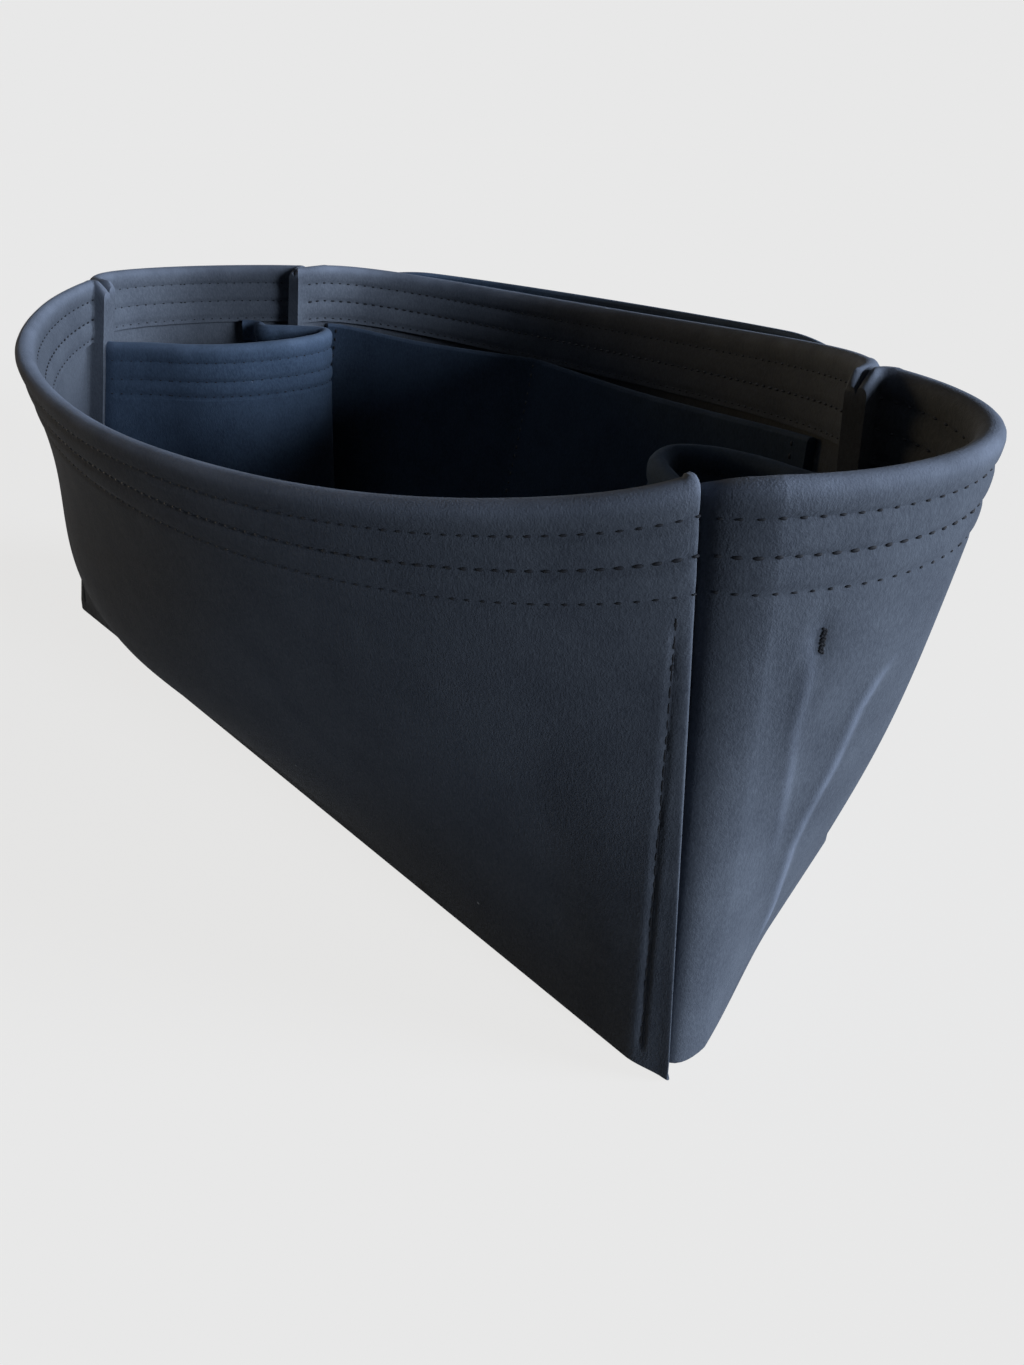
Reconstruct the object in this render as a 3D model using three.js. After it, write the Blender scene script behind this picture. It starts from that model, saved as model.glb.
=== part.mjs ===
import * as THREE from 'three';

// Organizer insert for a handbag: an open-topped box of thick felt with pockets, which stands in a bag.
// Millimetres, +Z up, X along the length, front wall at -Y, right end at +X.
// The origin is the middle of the underside of the base.

// Overall sizes
const BASE_LENGTH = 309;
const BASE_BACK_LENGTH = 278;
const BASE_WIDTH = 98;
const WALL_HEIGHT = 130;
const BASE_CORNER_RADIUS = 4;

// Felt and sewing
const FELT = 2.5;
const SEAM_GAP = 0.3;
const SEAM_ALLOWANCE = 10;
const HEM_DEPTH = 19;
const HEM_TURN = 2;
const HEM_STEP = 1.5;
const HEM_LEAD = 10;
const RIM_ROUNDING = 0.8;

// Each rim corner, walking round the rim from front left: how far it is drawn in from the base corner
// under it along X and Y, how far it stands above the wall height, and the angle in degrees that its
// seam allowance is bent aside at the rim.
const CORNERS = [
  { side: [-1, -1], drawnInX: 19, drawnInY: 28, rise: -2, bentAside: -38 },
  { side: [1, -1], drawnInX: 16, drawnInY: 10, rise: -1.5, bentAside: 0 },
  { side: [1, 1], drawnInX: 10, drawnInY: 10, rise: 2.5, bentAside: 29 },
  { side: [-1, 1], drawnInX: 29, drawnInY: -6, rise: -2, bentAside: -47 },
];

// Each wall from its first corner to its next. Its rim is a cubic curve whose two handles are given
// along the wall and out from it, and dip is how far the rim sags between its corners.
const FRONT = { corner: 0, startAlong: 64, startOut: 107, endAlong: 14.5, endOut: 24, dip: 13 };
const RIGHT = { corner: 1, startAlong: 10, startOut: 21, endAlong: 7, endOut: 61, dip: 1 };
const BACK = { corner: 2, startAlong: 52, startOut: 72, endAlong: 3, endOut: 70, dip: 9 };
const LEFT = { corner: 3, startAlong: 23, startOut: 46, endAlong: 12, endOut: 38, dip: 1 };
const DIP_SHARPNESS = 1.4;

// How far a wall's bow runs ahead of a straight lean half-way up, as a share of the bow at its rim.
const BULGE = 0.11;

// End pockets: a strip from one corner seam, round a loop, back to a tail sewn on the end panel.
// The loop's points are measured from the end and from the side that the tail is on.
const POCKET_HEM = 19;
const POCKET_LEAD = 3;
const POCKET_FOOT_CLEAR = 14;
const TAIL_LENGTH = 14;
const TAIL_BEND = 8;
const LEFT_POCKET = {
  rim: 108,
  seamCorner: 0,
  wall: LEFT,
  side: [-1, 1],
  tailFromCorner: 20,
  passesSeam: true,
  loop: [[39, 62], [52, 53], [62, 41], [68, 23], [67, 8], [59, 0]],
};
const RIGHT_POCKET = {
  rim: 110,
  seamCorner: 2,
  wall: RIGHT,
  side: [1, -1],
  tailFromCorner: 24,
  passesSeam: false,
  loop: [[46, 78], [58, 76], [65, 70], [63, 61], [54, 53], [32, 41]],
};

// Slip pocket inside the back wall, in two compartments, and the outer pocket behind that wall.
// Places along the wall are shares of its length from the right corner.
const SLIP_DROP = 22;
const SLIP_FOOT = 5;
const SLIP_START = 0.1;
const SLIP_DIVIDER = 0.55;
const SLIP_END = 0.965;
const SLIP_GAPE_RIGHT = 8;
const SLIP_GAPE_LEFT = 10;
const OUTER_FOOT = 5;
const OUTER_START = 0.07;
const OUTER_END = 0.93;
const OUTER_GAPE = 9;

// Steps of the facets
const LONG_WALL_STEPS = 28;
const END_WALL_STEPS = 12;
const BODY_LEVELS = 5;
const POCKET_STEPS = 36;
const SLIP_STEPS = 26;

const WALL_FOOT = FELT + SEAM_GAP;
const ALONG = [[1, 0], [0, 1], [-1, 0], [0, -1]];
const UP = new THREE.Vector3(0, 0, 1);

function flat(x, y) {
  return new THREE.Vector3(x, y, 0);
}

function rightOf(direction) {
  return flat(direction.y, -direction.x);
}

function mix(a, b, share) {
  return a + (b - a) * share;
}

function baseCorner(index) {
  const [x, y] = CORNERS[index % 4].side;
  const length = y < 0 ? BASE_LENGTH : BASE_BACK_LENGTH;
  return flat((x * length) / 2, (y * BASE_WIDTH) / 2);
}

function rimCorner(index) {
  const { side, drawnInX, drawnInY } = CORNERS[index % 4];
  return baseCorner(index).sub(flat(side[0] * drawnInX, side[1] * drawnInY));
}

function rimCornerHeight(index) {
  return WALL_HEIGHT + CORNERS[index % 4].rise;
}

function rimCurve(wall) {
  const along = flat(...ALONG[wall.corner]);
  const out = rightOf(along);
  const start = rimCorner(wall.corner);
  const end = rimCorner(wall.corner + 1);
  const startHandle = start.clone().addScaledVector(along, wall.startAlong).addScaledVector(out, wall.startOut);
  const endHandle = end.clone().addScaledVector(along, -wall.endAlong).addScaledVector(out, wall.endOut);
  return new THREE.CubicBezierCurve3(start, startHandle, endHandle, end);
}

function rimHeight(wall, u) {
  const level = mix(rimCornerHeight(wall.corner), rimCornerHeight(wall.corner + 1), u);
  return level - wall.dip * (4 * u * (1 - u)) ** DIP_SHARPNESS;
}

// A point of a wall's outer face: u runs along the wall, v from its foot (0) to its rim (1).
// The corner seams are straight, and the bow between them grows a little faster than the height.
function wallPoint(wall, u, v) {
  const foot = baseCorner(wall.corner).lerp(baseCorner(wall.corner + 1), u);
  const chord = rimCorner(wall.corner).lerp(rimCorner(wall.corner + 1), u);
  const bow = rimCurve(wall).getPoint(u).sub(chord);
  const bowShare = v + 4 * BULGE * v * (1 - v);
  const point = foot.lerp(chord, v).addScaledVector(bow, bowShare);
  return point.setZ(mix(WALL_FOOT, rimHeight(wall, u), v));
}

function wallDirection(wall, u, v) {
  const step = 0.001;
  const before = wallPoint(wall, Math.max(0, u - step), v);
  const after = wallPoint(wall, Math.min(1, u + step), v);
  return after.sub(before).setZ(0).normalize();
}

// A point off a wall: depth is measured inwards from the outer face.
function wallInside(wall, u, v, depth) {
  return wallPoint(wall, u, v).addScaledVector(rightOf(wallDirection(wall, u, v)), -depth);
}

function wallFrom(index) {
  return [FRONT, RIGHT, BACK, LEFT][index % 4];
}

// The seam of a corner at one level: its place, and the way that its allowance points into the box,
// which is half-way between the walls at the foot and is bent aside more and more towards the rim.
function seamAt(corner, v) {
  const next = wallFrom(corner);
  const previous = wallFrom(corner + 3);
  const toPrevious = wallDirection(previous, 1, v).negate();
  const inward = rightOf(toPrevious.sub(wallDirection(next, 0, v))).normalize();
  const turn = THREE.MathUtils.degToRad(CORNERS[corner % 4].bentAside * v);
  return { place: wallPoint(next, 0, v), inward: inward.applyAxisAngle(UP, turn) };
}

// Where a line beside the seam meets a line beside the wall's outer face.
function crossing(seam, side, beside, wall, u, v, depth) {
  const a = seam.place.clone().addScaledVector(side, beside);
  const direction = wallDirection(wall, u, v);
  const out = rightOf(direction);
  const b = seam.place.clone().addScaledVector(out, -depth);
  const reach = b.sub(a).dot(out) / seam.inward.dot(out);
  return a.addScaledVector(seam.inward, reach);
}

// One level of a wall panel, as pairs of an outer and an inner point, from one seam allowance to the other.
function panelSection(wall, drop, steps) {
  const v = 1 - drop / WALL_HEIGHT;
  const thickness = drop > HEM_DEPTH ? FELT : FELT + HEM_TURN;
  const inset = drop > 0 ? 0 : RIM_ROUNDING;
  const near = SEAM_GAP / 2 + inset;
  const far = SEAM_GAP / 2 + FELT - inset;
  const pairs = [];
  for (let i = 0; i <= steps; i += 1) {
    const u = i / steps;
    if (i > 0 && i < steps) {
      pairs.push([wallInside(wall, u, v, inset), wallInside(wall, u, v, thickness - inset)]);
      continue;
    }
    const seam = seamAt(wall.corner + (i > 0 ? 1 : 0), v);
    const side = rightOf(seam.inward).multiplyScalar(i > 0 ? -1 : 1);
    const tip = [near, far].map((beside) => (
      seam.place.clone().addScaledVector(seam.inward, SEAM_ALLOWANCE).addScaledVector(side, beside)
    ));
    const turn = [
      crossing(seam, side, near, wall, u, v, inset),
      crossing(seam, side, far, wall, u, v, thickness - inset),
    ];
    pairs.push(...(i > 0 ? [turn, tip] : [tip, turn]));
  }
  return pairs;
}

// A closed solid through levels of paired points. The first point of a pair is on the right of the path.
// The facets of the path's second half mirror those of its first, so two panels match along their seam.
function sheetSolid(sections) {
  const count = sections[0].length;
  const top = sections.length - 1;
  const last = count - 1;
  const positions = [];
  const faces = [];
  const at = (level, i, side) => (level * count + i) * 2 + side;
  const quad = (a, b, c, d) => faces.push(a, b, c, a, c, d);
  const facet = (i, a, b, c, d) => (i < last / 2 ? quad(a, b, c, d) : quad(b, c, d, a));
  sections.forEach((section) => section.forEach((pair) => pair.forEach((p) => positions.push(p.x, p.y, p.z))));
  for (let k = 0; k < top; k += 1) {
    for (let i = 0; i < last; i += 1) {
      facet(i, at(k, i, 0), at(k, i + 1, 0), at(k + 1, i + 1, 0), at(k + 1, i, 0));
      facet(i, at(k, i, 1), at(k + 1, i, 1), at(k + 1, i + 1, 1), at(k, i + 1, 1));
    }
    quad(at(k, 0, 0), at(k + 1, 0, 0), at(k + 1, 0, 1), at(k, 0, 1));
    quad(at(k, last, 0), at(k, last, 1), at(k + 1, last, 1), at(k + 1, last, 0));
  }
  for (let i = 0; i < last; i += 1) {
    quad(at(0, i, 0), at(0, i, 1), at(0, i + 1, 1), at(0, i + 1, 0));
    quad(at(top, i, 0), at(top, i + 1, 0), at(top, i + 1, 1), at(top, i, 1));
  }
  const geometry = new THREE.BufferGeometry();
  geometry.setAttribute('position', new THREE.Float32BufferAttribute(positions, 3));
  geometry.setIndex(faces);
  geometry.computeVertexNormals();
  return geometry;
}

// The heights at which a hemmed piece is cut into levels, as drops below its rim.
function hemmedDrops(height, hem) {
  const drops = [];
  for (let k = 0; k <= BODY_LEVELS; k += 1) {
    drops.push(mix(height, hem + HEM_STEP, k / BODY_LEVELS));
  }
  return [...drops, hem, hem / 2, RIM_ROUNDING, 0];
}

function wallPanel(wall, steps) {
  return sheetSolid(hemmedDrops(WALL_HEIGHT, HEM_DEPTH).map((drop) => panelSection(wall, drop, steps)));
}

// The base is one flat piece with rounded corners, and the walls stand on its edges.
function basePanel() {
  const outline = new THREE.Shape();
  CORNERS.forEach((_, i) => {
    const corner = baseCorner(i);
    const [before, after] = [baseCorner(i + 3), baseCorner(i + 1)].map((neighbour) => (
      neighbour.sub(corner).setLength(BASE_CORNER_RADIUS).add(corner)
    ));
    if (i === 0) outline.moveTo(before.x, before.y);
    else outline.lineTo(before.x, before.y);
    outline.quadraticCurveTo(corner.x, corner.y, after.x, after.y);
  });
  outline.closePath();
  return new THREE.ExtrudeGeometry(outline, { depth: FELT, bevelEnabled: false, curveSegments: 4 });
}

function shareAtHeight(corner, z) {
  return (z - WALL_FOOT) / (rimCornerHeight(corner) - WALL_FOOT);
}

// The middle line of an end pocket's strip at one height. Its loop stays clear of the side at its foot,
// and a strip that passes the seam beside its tail goes round the end of that seam's allowance.
function pocketPath(pocket, z) {
  const up = (z - WALL_FOOT) / (pocket.rim - WALL_FOOT);
  const seam = seamAt(pocket.seamCorner, shareAtHeight(pocket.seamCorner, z));
  const lead = [SEAM_ALLOWANCE + SEAM_GAP, SEAM_ALLOWANCE + POCKET_LEAD].map((reach) => (
    seam.place.clone().addScaledVector(seam.inward, reach)
  ));
  const [sideX, sideY] = pocket.side;
  const loop = pocket.loop.map(([fromEnd, fromSide]) => flat(
    sideX * (BASE_LENGTH / 2 - fromEnd),
    sideY * (BASE_WIDTH / 2 - mix(Math.max(fromSide, POCKET_FOOT_CLEAR), fromSide, up)),
  ));
  const v = shareAtHeight(pocket.wall.corner, z);
  if (pocket.passesSeam) {
    const beside = seamAt(pocket.wall.corner, v);
    loop.push(beside.place.addScaledVector(beside.inward, SEAM_ALLOWANCE + POCKET_LEAD + FELT / 2));
  }
  const besideHem = (1 - v) * WALL_HEIGHT < HEM_DEPTH + HEM_LEAD;
  const clear = FELT + (besideHem ? HEM_TURN : 0) + SEAM_GAP + FELT / 2;
  const tail = [[0, TAIL_BEND], [TAIL_BEND / 2, TAIL_BEND / 4], [TAIL_BEND, SEAM_GAP], [TAIL_LENGTH, SEAM_GAP]];
  const sewn = tail.map(([further, off]) => (
    wallInside(pocket.wall, (pocket.tailFromCorner + further) / BASE_WIDTH, v, clear + off)
  ));
  const points = [...lead, ...loop, ...sewn].map((p) => p.setZ(0));
  return new THREE.CatmullRomCurve3(points);
}

function pocketSection(pocket, drop) {
  const z = pocket.rim - drop;
  const path = pocketPath(pocket, z);
  const inset = drop > 0 ? 0 : RIM_ROUNDING;
  const outer = FELT / 2 - inset;
  const inner = outer + (drop > POCKET_HEM ? 0 : HEM_TURN);
  const hemShare = (u) => Math.min(1, Math.min(u, 1 - u) * POCKET_STEPS / 6);
  return path.getSpacedPoints(POCKET_STEPS).map((point, i) => {
    const u = i / POCKET_STEPS;
    const right = rightOf(path.getTangentAt(u));
    const turnedIn = mix(outer, inner, hemShare(u));
    return [
      point.clone().addScaledVector(right, outer).setZ(z),
      point.clone().addScaledVector(right, -turnedIn).setZ(z),
    ];
  });
}

function endPocket(pocket) {
  const height = pocket.rim - WALL_FOOT;
  return sheetSolid(hemmedDrops(height, POCKET_HEM).map((drop) => pocketSection(pocket, drop)));
}

// How far a pocket mouth stands open at a place along it: nothing at its sewn sides, most between them.
function mouth(u, start, end, gape) {
  const share = (u - start) / (end - start);
  return share > 0 && share < 1 ? gape * Math.sin(Math.PI * share) : 0;
}

// A sheet that lies along the back wall. place(u, up) gives the height of a point, as a share of the wall,
// and the depths of its two faces from the wall's outer face.
function sheetOnBack(start, end, place) {
  const sections = [];
  for (let k = 0; k <= BODY_LEVELS + 2; k += 1) {
    const section = [];
    for (let i = 0; i <= SLIP_STEPS; i += 1) {
      const u = mix(start, end, i / SLIP_STEPS);
      const { v, depths } = place(u, k / (BODY_LEVELS + 2));
      section.push(depths.map((depth) => wallInside(BACK, u, v, depth)));
    }
    sections.push(section);
  }
  return sheetSolid(sections);
}

function slipPocket() {
  const foot = SLIP_FOOT / WALL_HEIGHT;
  const rim = 1 - SLIP_DROP / WALL_HEIGHT;
  return sheetOnBack(SLIP_START, SLIP_END, (u, up) => {
    const open = mouth(u, SLIP_START, SLIP_DIVIDER, SLIP_GAPE_RIGHT)
      + mouth(u, SLIP_DIVIDER, SLIP_END, SLIP_GAPE_LEFT);
    const depth = FELT + SEAM_GAP + open * up;
    return { v: mix(foot, rim, up), depths: [depth, depth + FELT] };
  });
}

// The outer pocket's top edge is level with the rim in front of it.
function outerPocket() {
  const foot = OUTER_FOOT / WALL_HEIGHT;
  return sheetOnBack(OUTER_START, OUTER_END, (u, up) => {
    const depth = SEAM_GAP + mouth(u, OUTER_START, OUTER_END, OUTER_GAPE) * up;
    return { v: mix(foot, 1, up), depths: [-depth - FELT, -depth] };
  });
}

function feltPiece(name, geometry, color) {
  const material = new THREE.MeshStandardMaterial({ color, roughness: 0.95, metalness: 0 });
  const mesh = new THREE.Mesh(geometry, material);
  mesh.name = name;
  return mesh;
}

const organizer = new THREE.Group();
organizer.add(
  feltPiece('base_panel', basePanel(), '#23262b'),
  feltPiece('front_panel', wallPanel(FRONT, LONG_WALL_STEPS), '#33383f'),
  feltPiece('back_panel', wallPanel(BACK, LONG_WALL_STEPS), '#25282c'),
  feltPiece('left_end_panel', wallPanel(LEFT, END_WALL_STEPS), '#2f3742'),
  feltPiece('right_end_panel', wallPanel(RIGHT, END_WALL_STEPS), '#3d4653'),
  feltPiece('left_end_pocket', endPocket(LEFT_POCKET), '#2c3a4a'),
  feltPiece('right_end_pocket', endPocket(RIGHT_POCKET), '#30343a'),
  feltPiece('back_slip_pocket', slipPocket(), '#22252a'),
  feltPiece('back_outer_pocket', outerPocket(), '#272a33'),
);

export default organizer;
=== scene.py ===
import math

import bpy
import numpy as np
from mathutils import Matrix, Vector


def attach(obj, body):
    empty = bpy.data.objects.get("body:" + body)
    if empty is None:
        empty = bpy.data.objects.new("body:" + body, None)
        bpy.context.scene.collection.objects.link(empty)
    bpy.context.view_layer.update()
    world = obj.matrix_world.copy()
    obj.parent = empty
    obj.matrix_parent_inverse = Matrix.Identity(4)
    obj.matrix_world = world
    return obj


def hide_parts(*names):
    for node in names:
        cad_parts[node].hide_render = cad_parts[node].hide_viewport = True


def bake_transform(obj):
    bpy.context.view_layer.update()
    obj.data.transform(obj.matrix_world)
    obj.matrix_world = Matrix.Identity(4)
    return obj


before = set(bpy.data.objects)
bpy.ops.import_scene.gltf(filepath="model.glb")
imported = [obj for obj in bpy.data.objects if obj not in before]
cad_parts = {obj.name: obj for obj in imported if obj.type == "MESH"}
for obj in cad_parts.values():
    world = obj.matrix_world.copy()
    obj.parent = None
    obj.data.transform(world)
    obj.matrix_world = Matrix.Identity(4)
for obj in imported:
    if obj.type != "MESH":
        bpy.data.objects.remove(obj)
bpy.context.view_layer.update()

# Base panel: the floor of the insert, one piece of thick pressed felt cut with a knife.
# The walls are sewn round its edges, and it lies flat on whatever the insert stands on.
MM = 0.001
FELT = 2.5
BASE_LENGTH = 309
BASE_BACK_LENGTH = 278
BASE_WIDTH = 98
FOOT_CLEAR = 0.08
BASE_TUCK = 0.1
BASE_STEPS = (60, 24)
BASE_WAVE = 0.12
SHARP_ANGLE = math.radians(42)
FRONT_FOOT_BOW = (1.9, 0.12, 0.2, 0.965, 0.035)
RIGHT_FOOT_BOW = (2.5, 0.0, 0.06, 0.1, 0.45)
STRAIGHT_FOOT = (0.0, 0.0, 1.0, 1.0, 1.0)
RIGHT_FOLD, RIGHT_FOLD_DEPTH = 13, 5.6


def eased(share):
    """0 below 0, 1 above 1 and a smooth rise between."""
    share = np.clip(share, 0, 1)
    return share * share * (3 - 2 * share)


def foot_bow(bow, u):
    """How far a wall's foot is bowed out past the base's straight edge, at u along the wall."""
    amount, begin, rise, fall, run = bow
    return amount * eased((u - begin) / rise) * (1 - eased((u - fall) / run))


def sheet_faces(levels, columns, first=0):
    """The faces of a closed sheet of paired points, each with a key for its place on the sheet."""
    def at(level, column, side):
        return (level * columns + column) * 2 + side

    last = columns - 1
    top = levels - 1
    for k in range(top):
        up = k + 1
        for i in range(last):
            on = i + 1
            yield ("outer", k, first + i), (at(k, i, 0), at(k, on, 0), at(up, on, 0), at(up, i, 0))
            yield ("inner", k, first + i), (at(k, i, 1), at(up, i, 1), at(up, on, 1), at(k, on, 1))
        yield ("start", k, first), (at(k, 0, 0), at(up, 0, 0), at(up, 0, 1), at(k, 0, 1))
        yield ("end", k, first + last), (at(k, last, 0), at(k, last, 1), at(up, last, 1), at(up, last, 0))
    for i in range(last):
        on = i + 1
        yield ("foot", 0, first + i), (at(0, i, 0), at(0, i, 1), at(0, on, 1), at(0, on, 0))
        yield ("rim", top, first + i), (at(top, i, 0), at(top, on, 0), at(top, on, 1), at(top, i, 1))


def sheet_mesh(name, rows, marked, first=0):
    """A mesh of rows[level, column, face], in millimetres, and the keys of its faces.
    The third argument says, at [level, column], how much painted highlight the felt gets there."""
    keys, faces = zip(*sheet_faces(rows.shape[0], rows.shape[1], first))
    mesh = bpy.data.meshes.new(name)
    mesh.from_pydata((rows.reshape(-1, 3) * MM).tolist(), [], faces)
    mesh.attributes.new("marked", "FLOAT", "POINT").data.foreach_set("value", np.repeat(marked.ravel(), 2))
    mesh.shade_smooth()
    mesh.set_sharp_from_angle(angle=SHARP_ANGLE)
    return mesh, keys


def shown(name, mesh, material):
    mesh.materials.append(material)
    piece = bpy.data.objects.new(name, mesh)
    bpy.context.scene.collection.objects.link(piece)
    return piece


def linear(code):
    """A linear colour from an sRGB hex value."""
    parts = [int(code[i:i + 2], 16) / 255 for i in (1, 3, 5)]
    return (*[c / 12.92 if c <= 0.04045 else ((c + 0.055) / 1.055) ** 2.4 for c in parts], 1)


def add_node(tree, kind, inputs=None, **settings):
    """Adds a node with its settings. An input is a plain value or another node's output."""
    made = tree.nodes.new(kind)
    for key, value in settings.items():
        setattr(made, key, value)
    for socket, value in (inputs or {}).items():
        if isinstance(value, bpy.types.NodeSocket):
            tree.links.new(value, made.inputs[socket])
        else:
            made.inputs[socket].default_value = value
    return made


# Pressed felt: matted wool and polyester fibres without a weave. It is dull all over, with a soft glow
# at grazing angles, clouds of uneven dye, bits of lint, and streaks of fibre drawn coarser than real ones.
# Rims, top edges and creases get a painted highlight, a paler colour whose share the meshes carry as an
# attribute.
CLOUD_SIZE = 16
FIBRE_WIDTH = 0.6
FIBRE_STRETCH = 2.0
MAT_SIZE = 0.35
LINT_SPACING = 11
LINT_REACH = 0.036
LINT_RARITY = 0.8
LINT_WANDER = 1.2


def pressed_felt(name, deep, pale, highlight, lint):
    material = bpy.data.materials.new(name)
    material.use_nodes = True
    tree = material.node_tree
    surface = tree.nodes["Principled BSDF"]
    place = add_node(tree, "ShaderNodeTexCoord").outputs["Object"]
    cloud = add_node(tree, "ShaderNodeTexNoise", {
        "Vector": place, "Scale": 1 / (CLOUD_SIZE * MM), "Detail": 3.0, "Roughness": 0.6})
    upright = add_node(tree, "ShaderNodeMapping", {"Vector": place, "Scale": (1, 1, 1 / FIBRE_STRETCH)})
    fibre = add_node(tree, "ShaderNodeTexNoise", {
        "Vector": upright.outputs["Vector"], "Scale": 1 / (FIBRE_WIDTH * MM),
        "Detail": 4.0, "Roughness": 0.65})
    mat = add_node(tree, "ShaderNodeTexNoise", {
        "Vector": place, "Scale": 1 / (MAT_SIZE * MM), "Detail": 2.0, "Roughness": 0.5})
    streak = add_node(tree, "ShaderNodeMapRange", {
        "Value": fibre.outputs["Fac"], "From Min": 0.33, "From Max": 0.72})
    uneven = add_node(tree, "ShaderNodeMapRange", {
        "Value": cloud.outputs["Fac"], "From Min": 0.3, "From Max": 0.7, "To Min": 0.0, "To Max": 0.45})
    share = add_node(tree, "ShaderNodeMath", {0: streak.outputs[0], 1: 0.65, 2: uneven.outputs[0]},
                     operation="MULTIPLY_ADD")
    dyed = add_node(tree, "ShaderNodeMix", {
        "Factor": share.outputs[0], 6: linear(deep), 7: linear(pale)}, data_type="RGBA")
    # Painted highlight: the share of the paler colour that the mesh attribute gives, made patchy by the
    # clouds.
    highlighting = add_node(tree, "ShaderNodeAttribute", attribute_name="marked")
    patchy_highlight = add_node(tree, "ShaderNodeMath", {
        0: highlighting.outputs["Fac"], 1: cloud.outputs["Fac"]}, operation="MULTIPLY")
    highlit = add_node(tree, "ShaderNodeMix", {
        "Factor": patchy_highlight.outputs[0], 6: dyed.outputs[2], 7: linear(highlight)}, data_type="RGBA")
    wander = add_node(tree, "ShaderNodeVectorMath", {
        0: fibre.outputs["Color"], 1: (LINT_WANDER * MM,) * 3, 2: place}, operation="MULTIPLY_ADD")
    bits = add_node(tree, "ShaderNodeTexVoronoi", {
        "Vector": wander.outputs[0], "Scale": 1 / (LINT_SPACING * MM)})
    near = add_node(tree, "ShaderNodeMath", {
        0: bits.outputs["Distance"], 1: LINT_REACH}, operation="LESS_THAN")
    rare = add_node(tree, "ShaderNodeSeparateColor", {0: bits.outputs["Color"]})
    chosen = add_node(tree, "ShaderNodeMath", {
        0: rare.outputs[0], 1: LINT_RARITY}, operation="GREATER_THAN")
    speck = add_node(tree, "ShaderNodeMath", {
        0: near.outputs[0], 1: chosen.outputs[0]}, operation="MULTIPLY")
    colour = add_node(tree, "ShaderNodeMix", {
        "Factor": speck.outputs[0], 6: highlit.outputs[2], 7: linear(lint)}, data_type="RGBA")
    height = add_node(tree, "ShaderNodeMath", {
        0: fibre.outputs["Fac"], 1: mat.outputs["Fac"]}, operation="ADD")
    bump = add_node(tree, "ShaderNodeBump", {
        "Height": height.outputs[0], "Strength": 0.3, "Distance": 0.4 * MM})
    tree.links.new(colour.outputs[2], surface.inputs["Base Color"])
    tree.links.new(bump.outputs["Normal"], surface.inputs["Normal"])
    surface.inputs["Roughness"].default_value = 0.95
    surface.inputs["Specular IOR Level"].default_value = 0.1
    surface.inputs["Sheen Weight"].default_value = 0.12
    surface.inputs["Sheen Roughness"].default_value = 0.45
    surface.inputs["Sheen Tint"].default_value = linear("#8f9db3")
    return material


# Its third colour is that of the painted highlight, which the base does not get; the fourth is lint.
floor_felt = pressed_felt("charcoal_base_felt", "#292c32", "#383d45", "#5a6069", "#8a8f98")
along = np.linspace(0, 1, BASE_STEPS[0] + 1)[:, None]
across = np.linspace(0, 1, BASE_STEPS[1] + 1)[None, :]
inside = FELT - BASE_TUCK
half_length = (BASE_LENGTH + (BASE_BACK_LENGTH - BASE_LENGTH) * across) / 2 - inside
straight_y = (2 * across - 1) * (BASE_WIDTH / 2 - inside)
right_bow = foot_bow(RIGHT_FOOT_BOW, 0.5 + straight_y / BASE_WIDTH)
behind_fold = RIGHT_FOLD_DEPTH * np.clip(1 - (straight_y + BASE_WIDTH / 2) / RIGHT_FOLD, 0, 1) ** 2
floor_x = (2 * along - 1) * half_length + (right_bow - behind_fold) * along
front_bow = foot_bow(FRONT_FOOT_BOW, 0.5 + floor_x / BASE_LENGTH)
floor_y = straight_y - front_bow * (1 - across)
wave = BASE_WAVE * np.sin(floor_x / 31) * np.sin(floor_y / 17 + 0.6)
under = np.stack((floor_x, floor_y, FOOT_CLEAR + 0 * wave), axis=-1)
upper = np.stack((floor_x, floor_y, FELT + wave), axis=-1)
base_mesh, _ = sheet_mesh("base_felt", np.stack((under, upper), axis=2), 0 * wave)
base_piece = shown("base_felt", base_mesh, floor_felt)
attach(base_piece, "shell")
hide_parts("base_panel")

# Front panel: the long wall that bows out towards the front. Its top is turned over into a hem, held by
# three rows of stitching, and its ends turn inwards as seam allowances, with stitching beside each fold.
WALL_HEIGHT = 130
SEAM_GAP = 0.3
SEWN_GAP = 0.04
SEAM_ALLOWANCE = 10
HEM_TURN = 2.0
HEM_DEPTH = 20.8
HEM_ROWS = (6.4, 12.9, 19.1)
WALL_FOOT = FELT + SEAM_GAP
BULGE = 0.11
BARREL_FROM, BARREL_RUN = 0.25, 0.45
DIP_SHARPNESS = 1.4
CORNER_SIDES = ((-1, -1), (1, -1), (1, 1), (-1, 1))
CORNER_DRAWN_IN = ((19, 28), (16, 10), (10, 10), (29, -6))
CORNER_RISE = (-2, -1.5, 2.5, -2)
ALLOWANCE_BENT_ASIDE = (-38, 0, 29, -47)
WALL_ALONG = ((1, 0), (0, 1), (-1, 0), (0, -1))
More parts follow.
